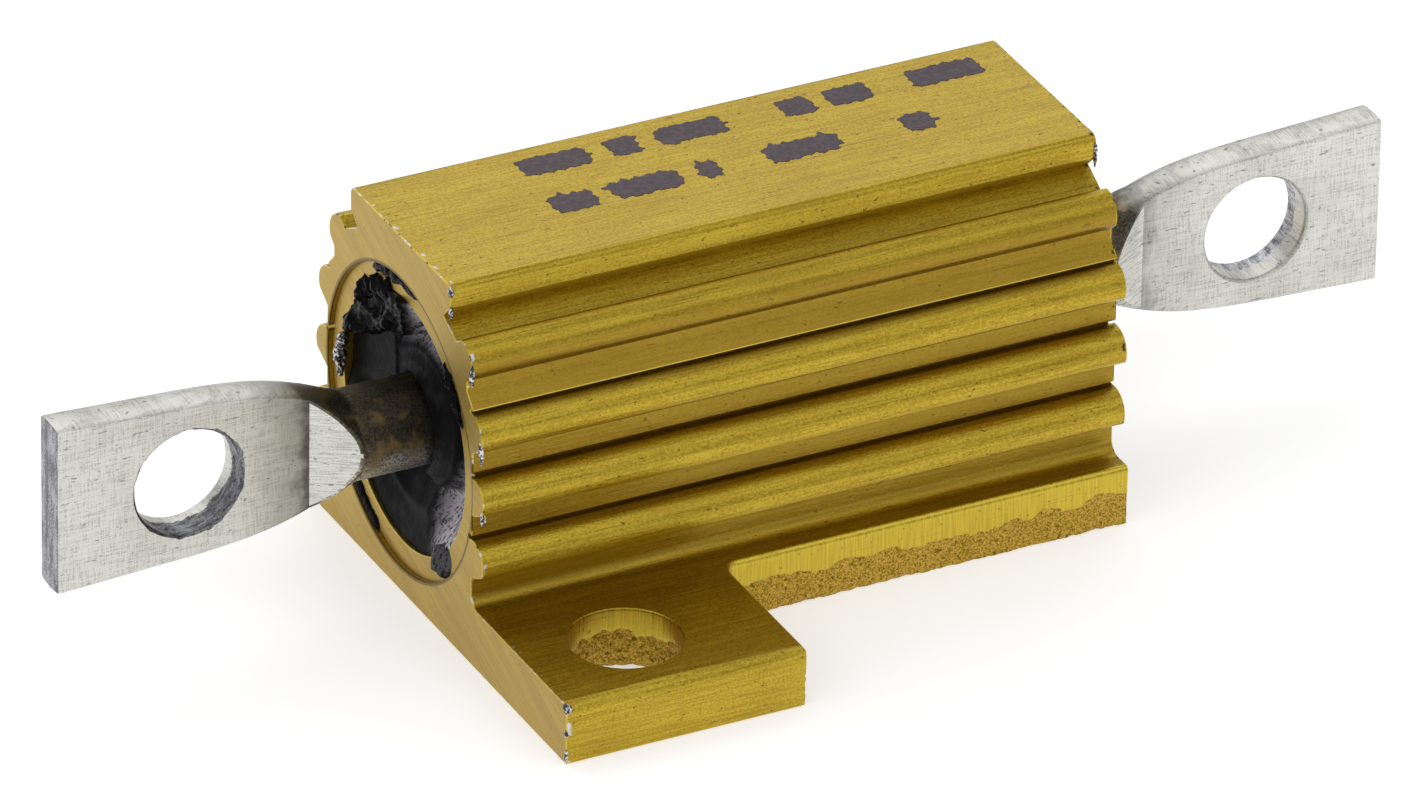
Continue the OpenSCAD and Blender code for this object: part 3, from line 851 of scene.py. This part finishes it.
def hole_cutter(centre, radius, axis, thickness, depth_of, materials):
    """Shaves the wall of a round hole: a ring of radius + depth_of(along, height),
    closed inside by a plain ring. axis is "Z" for the feet, "Y" for the blades."""
    around = np.linspace(0, 2 * math.pi, 160, endpoint=False)
    h = np.linspace(BELOW, thickness + ABOVE, 44)
    a, t = np.meshgrid(around, h, indexing="ij")
    depth, torn = depth_of(a * radius, t)
    # Over the last 6% of the turn the noise fades back to its start, so the ring closes.
    weight = step(0.94, 1.0, a / (2 * math.pi))
    depth = depth * (1 - weight) + depth[:1] * weight
    torn = torn * (1 - weight) + torn[:1] * weight
    outline = []
    for r in (radius + depth, np.full_like(a, radius - 0.15 * MM)):
        u, v = r * np.cos(a), r * np.sin(a)
        ring = (np.stack([u, v, t], -1) if axis == "Z"
                else np.stack([u, t - thickness / 2, v], -1))
        outline.append(ring + np.array(centre))
    return closed_cutter("pierced hole", outline[0], outline[1], torn, materials, ring=True)


# ---------------------------------------------------------------- the moulding's surfaces


def end_depth(r, phi, looks):
    """Depth below the sawn face of the moulding's left end, at radius r and at angle phi
    from -Y towards +Z, with the share of its painted sheen and its shine.

    A collar whose radius swells from 1.2 to 2 mm on the upper right stands round the
    stem; u runs from 0 at its edge to 1 at the bore. Between them the trough falls with
    a smooth step over the first third of u and rises with another over the rest. Below
    the stem there is no collar: the face slopes down to the stem by a power of the
    distance from the rim, with one raised ring. At the upper left the face is flat with
    one upright crease, and above a slanting line a torn chunk of flash stands up to the
    sawn face, its height a sum of noises."""
    turn = np.degrees(phi)
    back, up = -r * np.cos(phi) / MM, r * np.sin(phi) / MM
    angles = [-180, -100, -60, -46, -21, 9, 30, 49, 70, 99, 132, 160]
    radii = [1.2, 1.2, 1.3, 1.5, 1.66, 1.86, 1.98, 2.0, 1.86, 1.6, 1.35, 1.2]
    collar = np.interp(turn, angles, np.array(radii) * MM, period=360)
    u = np.clip((r - collar) / (BORE_R - collar), 0, 1)
    rim, top = looks.rim_recess, looks.collar_recess
    round_off = 0.14 * MM * step(0.3 * MM, 0, collar - r)
    gap = 0.25 * MM * step(0.14 * MM, 0.04 * MM, r - STEM_R)
    trough = looks.trough * (1 - 0.45 * step(35, 75, turn))
    depth = (top + round_off + gap + (trough - round_off) * step(0, 0.3, u)
             + (rim - top - trough) * step(0.3, 1, u))
    span = (BORE_R - r) / (BORE_R - STEM_R)
    ring = 0.07 * MM * np.exp(-((r - 2.05 * MM) / (0.13 * MM)) ** 2)
    slope = rim + 0.75 * MM * span ** 1.6 - ring
    low = step(-52, -70, turn) * step(-178, -168, turn)
    depth = depth * (1 - low) + slope * low
    left = step(112, 122, turn) + step(-168, -178, turn)
    crease = 0.06 * MM * np.exp(-((back - 0.95) / 0.05) ** 2)
    flat = 0.34 * MM + 0.1 * MM * span - crease
    depth = depth * (1 - left) + flat * left
    jag = 0.12 * rough_noise(back * 3.2, up * 3.2, 3, 61)
    chunk = step(0, 0.09, up + 0.49 * back - 2.18 + jag) * step(-0.2, -0.08, back + 1.5 * jag)
    torn = 0.05 * MM + looks.flash * rough_noise(back * 2.6, up * 2.6, 4, 67)
    depth = depth * (1 - chunk) + torn * chunk
    depth = depth + 0.008 * MM * rough_noise(phi * 12, r / (0.2 * MM), 2, 71)
    # The painted sheen lies on the slopes at the upper right and the lower right.
    slopes = step(0.05, 0.3, u) * (1 - low) * (1 - chunk)
    reach = (step(30, 48, turn) * step(122, 106, turn)
             + step(-76, -62, turn) * step(4, -12, turn))
    return depth, slopes * reach, chunk


def moulding_shell(looks):
    """The moulding's closed outline, as rows of x and radius, revolved about the axis:
    the left end, the bore, the right end (a sine trough between collar and rim), and the
    space inside for the caps and the winding. Returns points, painted sheen and shine."""
    columns = 256
    around = np.linspace(-math.pi, math.pi, columns, endpoint=False)
    r = np.linspace(STEM_R, BORE_R, 72)
    gr, gp = np.meshgrid(r, around, indexing="ij")
    depth, bloom, shine = end_depth(gr, gp, looks)
    u = np.linspace(0, 1, 18)
    right_r = BORE_R + (looks.collar_r - BORE_R) * u
    right_x = END_X - looks.rim_recess + (
        looks.rim_recess - looks.collar_recess) * u - looks.trough * np.sin(math.pi * u)
    wound_r = CORE_R + WIRE_T + 2 * WIRE_FIT
    tail_r = WINDING_HIGH.y + WIRE_FIT
    tail_end = WINDING_HIGH.x + WIRE_FIT
    tail_start = CAP_LOW.x - CLIMB
    inside = np.array([
        (END_X - looks.collar_recess, STEM_R), (CAP_HIGH.x, STEM_R), (CAP_HIGH.x, CAP_HIGH.y),
        (tail_end, CAP_HIGH.y), (tail_end, tail_r), (tail_start, tail_r),
        (tail_start, wound_r)])
    rest_x = np.concatenate([right_x, inside[:, 0], -inside[:0:-1, 0]])
    rest_r = np.concatenate([right_r, inside[:, 1], inside[:0:-1, 1]])
    x = np.concatenate([depth - END_X, np.repeat(rest_x[:, None], columns, 1)])
    radius = np.concatenate([gr, np.repeat(rest_r[:, None], columns, 1)])
    points = np.stack([x, -radius * np.cos(around), AXIS_Z + radius * np.sin(around)], -1)
    still = np.zeros((len(rest_x), columns))
    return points, np.concatenate([bloom, still]), np.concatenate([shine, still])


def bead(arc, r, depth, half, roughness, seed, rows=44, columns=18):
    """A bead of torn material that lies along an arc round the bore, from angle to angle
    in degrees. At s from -1 to 1 along it, its section is an ellipse of half widths
    half[0] along the radius and half[1] along X, times (1 - s^4)^(1/2), and its radius is
    1 plus a sum of noises."""
    s = np.linspace(-1, 1, rows)[:, None]
    b = np.linspace(0, 2 * math.pi, columns + 1)[None, :-1]
    phi = np.radians((arc[0] + arc[1]) / 2 + s * (arc[1] - arc[0]) / 2)
    lump = 1 + roughness * (rough_noise(phi * 16, 1.5 * np.cos(b), 3, seed)
                            + rough_noise(phi * 23, 1.5 * np.sin(b), 3, seed + 9))
    size = np.sqrt(1 - s ** 4) * np.maximum(lump, 0.15)
    radius = r + half[0] * size * np.cos(b)
    x = depth - END_X - half[1] * size * np.sin(b)
    return np.stack([x, -radius * np.cos(phi), AXIS_Z + radius * np.sin(phi)], -1)


def nub(at, half, seed, rows=16, columns=20):
    """A broken burr on a sawn rim: an ellipsoid of half widths half about at, in mm,
    where at[0] is the end's side; its radius is 1 plus a sum of noises over its angles."""
    v = np.linspace(0, math.pi, rows)[:, None]
    b = np.linspace(0, 2 * math.pi, columns + 1)[None, :-1]
    lump = 1 + 0.35 * rough_noise(1.6 * np.cos(b) * np.sin(v) + 4, 1.6 * np.sin(b) * np.sin(v)
                                  + 2 * np.cos(v) + 4, 3, seed)
    offset = np.stack([lump * np.cos(b) * np.sin(v), lump * np.sin(b) * np.sin(v),
                       lump * np.cos(v) * np.ones_like(b)], -1)
    place = np.array([at[0] * (END_X / MM - 0.6 * half[0]), at[1], at[2]])
    return (place + offset * np.array(half)) * MM


def joined(name, shells):
    """One mesh from closed shells, each (points, bloom, shine, ring): points on a grid
    wrapped round its columns, and round its rows too where ring is true."""
    points, faces, bloom, shine, start = [], [], [], [], 0
    for grid, grey, gloss, ring in shells:
        rows, columns = grid.shape[:2]
        faces.append(np.array(grid_faces(rows, columns, ring, True)) + start)
        points.append(grid.reshape(-1, 3))
        bloom.append(np.broadcast_to(grey, (rows, columns)).reshape(-1))
        shine.append(np.broadcast_to(gloss, (rows, columns)).reshape(-1))
        start += rows * columns
    obj = mesh_object(name, np.concatenate(points), np.concatenate(faces).tolist())
    for key, values in (("bloom", bloom), ("shine", shine)):
        layer = obj.data.attributes.new(key, "FLOAT", "POINT")
        layer.data.foreach_set("value", np.concatenate(values).astype(np.float32))
    outward(obj, merge=True)
    return obj


# ---------------------------------------------------------------- the operators


class RESISTOR_OT_housing(bpy.types.Operator):
    """Dress the finned housing: worn rims, punched walls and pierced feet"""

    bl_idname = "resistor.housing"
    bl_label = "Housing"

    def execute(self, context):
        looks = context.scene.resistor.housing

        def ease(bm):
            """Lifts the top fins' lower corners, so that only a thin dark line shows
            under each."""
            for v in bm.verts:
                level = abs(v.co.z - TOP_FIN_Z) < 0.05 * MM
                if level and abs(abs(v.co.y) - TOP_FIN_Y) < 0.03 * MM:
                    v.co.z += looks.ease

        obj = cad_copy("housing", "housing_finned", looks.edge, rim=2, ease=ease)
        dress(obj, extruded_aluminium(looks), sawn_aluminium(looks), worn_and_highlit_rims(looks))
        cut = [burnished_aluminium(looks), torn_aluminium(looks)]
        normal, centre = face_rows(obj.data)
        kind = np.zeros(len(obj.data.polygons), int)
        obj.data.polygons.foreach_get("material_index", kind)
        across = np.abs(normal[:, 0]) > 0.5
        at_end = np.abs(centre[:, 0]) > END_X - 0.3 * MM
        kind = np.where((kind == 0) & across & at_end, 1, kind)
        obj.data.polygons.foreach_set("material_index", kind)
        cutters = [wall_cutter(turn, looks, cut, 31 + 50 * turn) for turn in (0, 1)]
        for side in (1, -1):
            cutters.append(hole_cutter(
                side * MOUNT_HOLE, HOLE_R, "Z", FLANGE_T,
                lambda s, h, k=side: punch_depth(s, h, looks, 200 + k, 0.15), cut))
        shave(obj, cutters)
        smooth_by_angle(obj, 38)
        seat(obj, "anodised_aluminium", "housing")
        burr = joined("bore_burr", [
            (bead(arc, r, 0.05 * MM, (0.09 * MM, 0.1 * MM), 0.5, seed), 0, 0, False)
            for arc, r, seed in (((166, 174), BORE_R, 301),
                                 ((172, 182), BORE_R + 0.04 * MM, 311),
                                 ((180, 188), BORE_R, 321))])
        dress(burr, bare_aluminium(looks))
        seat(burr, "anodised_aluminium")
        # Each nub: its end, y and z in mm, its half widths in mm, and its seed.
        nicks = joined("rim_burrs", [
            (nub(at, half, seed), 0, 0, False) for at, half, seed in (
                ((-1, -2.42, 8.6), (0.05, 0.1, 0.13), 501),
                ((-1, -2.46, 8.1), (0.04, 0.05, 0.16), 506),
                ((-1, -3.48, 7.05), (0.05, 0.07, 0.22), 511),
                ((-1, -3.94, 5.45), (0.05, 0.07, 0.26), 521),
                ((-1, -4.06, 3.85), (0.05, 0.08, 0.14), 531),
                ((-1, -8.14, 1.34), (0.09, 0.12, 0.11), 541),
                ((-1, -8.17, 0.75), (0.04, 0.05, 0.1), 551),
                ((-1, -8.17, 0.2), (0.04, 0.05, 0.18), 561),
                ((1, -2.44, 8.3), (0.05, 0.07, 0.28), 571))])
        dress(nicks, bare_aluminium(looks))
        seat(nicks, "anodised_aluminium")
        return {"FINISHED"}


class RESISTOR_OT_moulding(bpy.types.Operator):
    """Dress the silicone moulding, its torn flash, painted sheen and gate"""

    bl_idname = "resistor.moulding"
    bl_label = "Moulding"

    def execute(self, context):
        looks = context.scene.resistor.moulding
        ledge = RECESS_T + 0.01 * MM  # just under the floor of the end face's recess
        gate_r = 3.17  # the plug in the moulding gate lies on this radius
        # Each bead of flash: its arc in degrees, radius in mm, depth, half widths in mm,
        # roughness and seed. The last is the gate's plug.
        flash = (
            ((78, 117), 3.44, ledge, (0.15, 0.13), 0.3, 401),
            ((24, 52), 3.13, ledge, (0.13, 0.1), 0.4, 421),
            ((-132, -109), 3.5, ledge, (0.19, 0.1), 0.15, 441),
            ((101, 140), 2.98, ledge, (0.22, 0.18), 0.4, 461),
            ((-66, -39), gate_r, 0.5 * MM, (0.42, 0.42), 0.14, 481))
        shells = [(*moulding_shell(looks), True)]
        for arc, r, depth, half, roughness, seed in flash:
            points = bead(arc, r * MM, depth, (half[0] * MM, half[1] * MM), roughness, seed)
            # The flash takes no painted sheen; the gate's plug takes a grey share of it.
            bloom, shine = (0.22, 0.3) if r == gate_r else (0.0, 0.9)
            shells.append((points, bloom, shine, False))
        obj = joined("moulding", shells)
        dress(obj, black_silicone(looks))
        smooth_by_angle(obj, 50)
        seat(obj, "black_silicone", "encapsulant")
        return {"FINISHED"}


class RESISTOR_OT_terminals(bpy.types.Operator):
    """Dress the two coined and tinned terminals"""

    bl_idname = "resistor.terminals"
    bl_label = "Terminals"

    def execute(self, context):
        looks = context.scene.resistor.terminal
        tin, facet = tinned_copper(looks), tinned_copper(looks, facet=True)
        tip = sheared_metal(looks, "Copper-clad wire, sheared at the tip", 1.4,
                            (0.05 * MM, 0.2 * MM, 0.6 * MM))
        rough = sheared_metal(looks, "Copper-clad wire, pierced rough", 0.95,
                              (0.3 * MM, 0.08 * MM, 0.3 * MM))
        clean = sheared_metal(looks, "Copper-clad wire, pierced clean", 2.0,
                              (0.1 * MM, 0.5 * MM, 0.1 * MM))
        for side, node in ((-1, "terminal_left"), (1, "terminal_right")):
            obj = cad_copy(node, node + "_coined", looks.edge)
            dress(obj, tin, tip, facet)
            normal, centre = face_rows(obj.data)
            x = np.abs(centre[:, 0])
            facing = side * normal[:, 0] > 0.7
            level = np.abs(normal[:, 2]) < 0.02
            slanting = np.abs(np.abs(normal[:, 1]) - 0.9) < 0.08
            shoulder = (x > NECK_X - 0.3 * MM) & (x < SHOULDER_X + 0.1 * MM)
            on_facet = level & slanting & shoulder
            kind = np.where(facing & (x > LUG_X + HOLE_R), 1, np.where(on_facet, 2, 0))
            obj.data.polygons.foreach_set("material_index", kind)

            def pierced(s, h, k=side):
                """Roll-over at the near face, then a rough break over three fifths of the
                thickness and a smooth sheared band behind it."""
                t = np.clip((0.1 * MM - h) / (0.1 * MM), 0, 1)
                rolled = 0.07 * MM * t * t
                ragged = 0.1 * MM * rough_noise(s / (0.5 * MM), 0 * h, 3, 90 + k)
                torn = step(0.02 * MM, -0.02 * MM, h - 0.6 * BLADE_T - ragged)
                tear = looks.hole_tear * np.maximum(0, rough_noise(
                    s / (0.22 * MM), h / (0.18 * MM), 4, 70 + k))
                tear = tear if k < 0 else 0.1 * tear
                return SKIN + rolled + torn * tear, torn

            cutter = hole_cutter((side * LUG_X, 0, AXIS_Z), HOLE_R, "Y", BLADE_T,
                                 pierced, [tin, rough] if side < 0 else [clean, tin])
            shave(obj, [cutter])
            smooth_by_angle(obj, 38)
            seat(obj, "tinned_terminal", node)
        return {"FINISHED"}


class RESISTOR_OT_element(bpy.types.Operator):
    """Give the hidden core, winding and end caps their finishes"""

    bl_idname = "resistor.element"
    bl_label = "Wound element"

    def execute(self, context):
        steatite = hidden_finish("Steatite, fired", "#e9e4d8", "#d8d0c0", 0.2 * MM, 0.6, 0.0)
        wire = hidden_finish("Resistance wire, drawn and oxidised", "#8f7a68", "#6e5b4c",
                             0.1 * MM, 0.4, 1.0)
        cap = hidden_finish("Plated steel, pressed", "#c2c0ba", "#a9a69f", 0.3 * MM, 0.35, 1.0)
        for node, material in (("ceramic_core", steatite), ("resistance_winding", wire),
                               ("end_cap_left", cap), ("end_cap_right", cap)):
            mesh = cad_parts[node].data
            mesh.materials.clear()
            mesh.materials.append(material)
        return {"FINISHED"}


class RESISTOR_OT_ink(bpy.types.Operator):
    """Lay two rows of plain ink marks on the flat top"""

    bl_idname = "resistor.ink"
    bl_label = "Ink marks"

    def execute(self, context):
        looks = context.scene.resistor.ink
        cell = 0.035 * MM
        x = np.arange(-4.8 * MM, 7.4 * MM, cell)
        y = np.arange(-1.3 * MM, 2.3 * MM, cell)
        gx, gy = np.meshgrid(x, y, indexing="ij")
        drop = 2 * math.pi / (0.3 * MM)  # the drops stand 0.3 mm apart
        wobble = 0.03 * MM * (np.cos(drop * gx) + np.cos(drop * gy)
                              + 1.5 * rough_noise(gx / (0.3 * MM), gy / (0.3 * MM), 2, 5))
        # Each mark: left end and length in mm, and its row.
        marks = [(-4.2, 1.7, 1), (-2.1, 0.8, 1), (-0.9, 1.7, 1), (2.1, 0.8, 1),
                 (3.2, 1.1, 1), (5.2, 1.8, 1),
                 (-4.3, 1.1, -1), (-2.9, 1.7, -1), (-0.8, 0.6, -1), (0.9, 1.8, -1),
                 (4.2, 0.8, -1)]
        inside = np.full(gx.shape, -1.0)
        for left, long, row in marks:
            dx = np.abs(gx - (left + long / 2) * MM) - long / 2 * MM + looks.corner
            dy = np.abs(gy - looks.shift - row * looks.row / 2) - looks.stroke / 2
            dy = dy + looks.corner
            away = np.hypot(np.maximum(dx, 0), np.maximum(dy, 0)) - looks.corner
            inside = np.maximum(inside, -away / MM)
        inked = inside * MM + wobble > 0
        keep = inked[:-1, :-1] & inked[1:, :-1] & inked[:-1, 1:] & inked[1:, 1:]
        faces = np.array(grid_faces(len(x), len(y)))[keep.reshape(-1)]
        used, faces = np.unique(faces, return_inverse=True)
        points = np.stack([gx, gy, np.full_like(gx, TOP_Z - SKIN)], -1)
        obj = mesh_object("ink_marks", points.reshape(-1, 3)[used],
                          faces.reshape(-1, 4).tolist())
        outward(obj)
        film = obj.modifiers.new("film", "SOLIDIFY")
        film.thickness = looks.film + SKIN
        film.offset = 1
        dress(obj, marking_ink(looks))
        seat(obj, "anodised_aluminium")
        return {"FINISHED"}


class RESISTOR_OT_studio(bpy.types.Operator):
    """Lay the floor, hang the soft lights and set the camera"""

    bl_idname = "resistor.studio"
    bl_label = "Studio"

    def execute(self, context):
        looks = context.scene.resistor.studio
        scene = context.scene
        self.floor(looks)
        self.lights(looks)
        self.camera(looks)
        scene.view_settings.view_transform = "Standard"
        return {"FINISHED"}

    def floor(self, looks):
        """A wide flat disc just under the base, whose paper also glows for the camera and in
        what mirrors or lets it through, so that it shows white."""
        radius, corners = 0.5, 96
        around = np.linspace(0, 2 * math.pi, corners, endpoint=False)
        ring = np.stack([radius * np.cos(around), radius * np.sin(around),
                         np.full(corners, -0.01 * MM)], -1)
        obj = mesh_object("floor", ring, [list(range(corners))], smooth=False)
        material, tree = blank("Matt paper")
        rays = ("Is Camera Ray", "Is Glossy Ray", "Is Transmission Ray")
        camera, gloss, clear = (add(tree, "LightPath", {}, ray) for ray in rays)
        seen = add(tree, "Math", {0: add(tree, "Math", {0: camera, 1: gloss}), 1: clear},
                   use_clamp=True)
        glow = add(tree, "Math", {0: seen, 1: looks.glow}, operation="MULTIPLY")
        shader = add(tree, "BsdfPrincipled", {
            "Base Color": tuple(looks.floor), "Roughness": 0.9,
            "Emission Color": (1, 1, 1, 1), "Emission Strength": glow})
        add(tree, "OutputMaterial", {"Surface": shader})
        dress(obj, material)

    def lights(self, looks):
        """A grey room and three large soft boxes: behind and above, left, and in front."""
        world = bpy.data.worlds.new("Room")
        bpy.context.scene.world = world
        world.use_nodes = True
        background = world.node_tree.nodes["Background"]
        background.inputs["Color"].default_value = (1, 1, 1, 1)
        background.inputs["Strength"].default_value = looks.sky
        # Each soft box: name, place, width, height and radiance.
        boxes = (("Overhead", (0.05, 0.25, 0.28), 0.45, 0.3, looks.key),
                 ("Side", (-0.35, -0.05, 0.25), 0.3, 0.3, 0.9 * looks.key),
                 ("Front", (0.1, -0.3, 0.34), 0.4, 0.3, 0.75 * looks.key))
        for name, place_at, wide, high, radiance in boxes:
            lamp = bpy.data.lights.new(name, "AREA")
            lamp.shape = "RECTANGLE"
            lamp.size, lamp.size_y = wide, high
            lamp.energy = radiance * wide * high * math.pi
            obj = bpy.data.objects.new(name, lamp)
            obj.location = place_at
            aim = Vector((0, 0, AXIS_Z)) - obj.location
            obj.rotation_euler = aim.to_track_quat("-Z", "Y").to_euler()
            bpy.context.scene.collection.objects.link(obj)

    def camera(self, looks):
        """Long lens at the given azimuth, elevation and roll about the axis's middle."""
        a, e, r = looks.azimuth, looks.elevation, looks.roll
        back = Vector((math.sin(a) * math.cos(e), -math.cos(a) * math.cos(e), math.sin(e)))
        level = Vector((math.cos(a), math.sin(a), 0))
        rise = back.cross(level)
        right = math.cos(r) * level + math.sin(r) * rise
        up = math.cos(r) * rise - math.sin(r) * level
        data = bpy.data.cameras.new("Camera")
        data.lens = looks.lens
        data.sensor_width = 36
        data.clip_start, data.clip_end = 0.01, 5
        obj = bpy.data.objects.new("Camera", data)
        turn = Matrix((right, up, back)).transposed()
        target = Vector((0, 0, 4 * MM))  # about the middle of the part
        spot = target + looks.distance * back - looks.right * right - looks.above * up
        obj.matrix_world = Matrix.Translation(spot) @ turn.to_4x4()
        bpy.context.scene.collection.objects.link(obj)
        bpy.context.scene.camera = obj


class RESISTOR_PT_panel(bpy.types.Panel):
    """The resistor's pieces in the 3D view's sidebar"""

    bl_idname = "RESISTOR_PT_panel"
    bl_label = "Resistor"
    bl_space_type = "VIEW_3D"
    bl_region_type = "UI"
    bl_category = "Resistor"

    def draw(self, context):
        looks = context.scene.resistor
        for operator, group in PIECES:
            box = self.layout.box()
            box.operator(operator.bl_idname)
            if group:
                settings = getattr(looks, group)
                for name in settings.__annotations__:
                    box.prop(settings, name)


PIECES = (
    (RESISTOR_OT_housing, "housing"),
    (RESISTOR_OT_moulding, "moulding"),
    (RESISTOR_OT_terminals, "terminal"),
    (RESISTOR_OT_element, None),
    (RESISTOR_OT_ink, "ink"),
    (RESISTOR_OT_studio, "studio"),
)

CLASSES = (HousingLooks, MouldingLooks, TerminalLooks, InkLooks, StudioLooks, ResistorLooks,
           *(operator for operator, _ in PIECES), RESISTOR_PT_panel)


def register():
    """Adds the classes and the scene's settings."""
    for cls in CLASSES:
        bpy.utils.register_class(cls)
    bpy.types.Scene.resistor = bpy.props.PointerProperty(type=ResistorLooks)


def unregister():
    """Takes out what register put in."""
    del bpy.types.Scene.resistor
    for cls in reversed(CLASSES):
        bpy.utils.unregister_class(cls)


def main():
    """Registers the classes and builds every piece."""
    register()
    for operator, _ in PIECES:
        group, name = operator.bl_idname.split(".")
        getattr(getattr(bpy.ops, group), name)()


if __name__ == "__main__":
    main()
